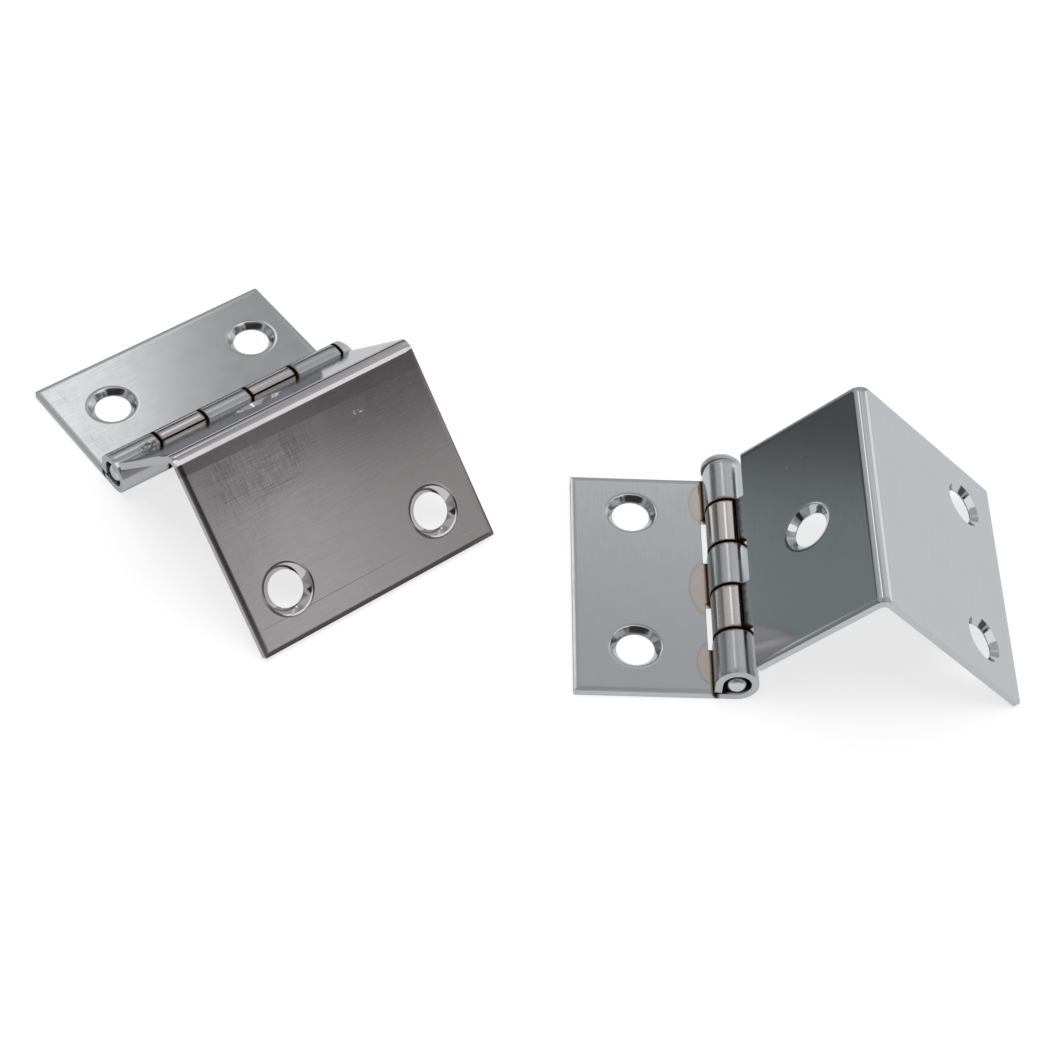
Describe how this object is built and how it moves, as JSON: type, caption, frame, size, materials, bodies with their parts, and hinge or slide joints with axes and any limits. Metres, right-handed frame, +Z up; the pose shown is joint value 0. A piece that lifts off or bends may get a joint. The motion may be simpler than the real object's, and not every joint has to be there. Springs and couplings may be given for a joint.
{
  "type": "pair of wrap-around hinges",
  "caption": "Pair of chrome wrap-around hinges: a flat leaf for the cabinet frame and an L-shaped leaf that wraps a door's edge and face, on a headed loose pin.",
  "frame": {"origin": "on the surface that the pair lies on, under the middle of the pair's bounding box", "axes": "+Z up from the surface; +Y along the right hinge's barrel towards the pin's head; +X from the right hinge's flat leaf towards its wrapping leaf"},
  "size_m": [0.1369, 0.0744, 0.0211],
  "materials": {
    "leaf_plating": "bright plated sheet with fine polishing marks",
    "pin_plating": "bright plated"
  },
  "bodies": {
    "frame_side": {"left_flat_leaf": "leaf_plating", "left_pin": "pin_plating", "right_flat_leaf": "leaf_plating", "right_pin": "pin_plating"},
    "right_door_leaf": {"right_wrap_leaf": "leaf_plating"},
    "left_door_leaf": {"left_wrap_leaf": "leaf_plating"}
  },
  "joints": [
    {"name": "right_leaf_swing", "type": "hinge", "parent": "frame_side", "child": "right_door_leaf", "pos_m": [0.03025, -0.03715, 0.0029], "axis": [0, -1, 0], "range_deg": [-165, 136]},
    {"name": "left_leaf_swing", "type": "hinge", "parent": "frame_side", "child": "left_door_leaf", "pos_m": [-0.05545, -0.00295, 0.0029], "axis": [-0.7934, -0.6088, 0], "range_deg": [-165, 136]}
  ]
}
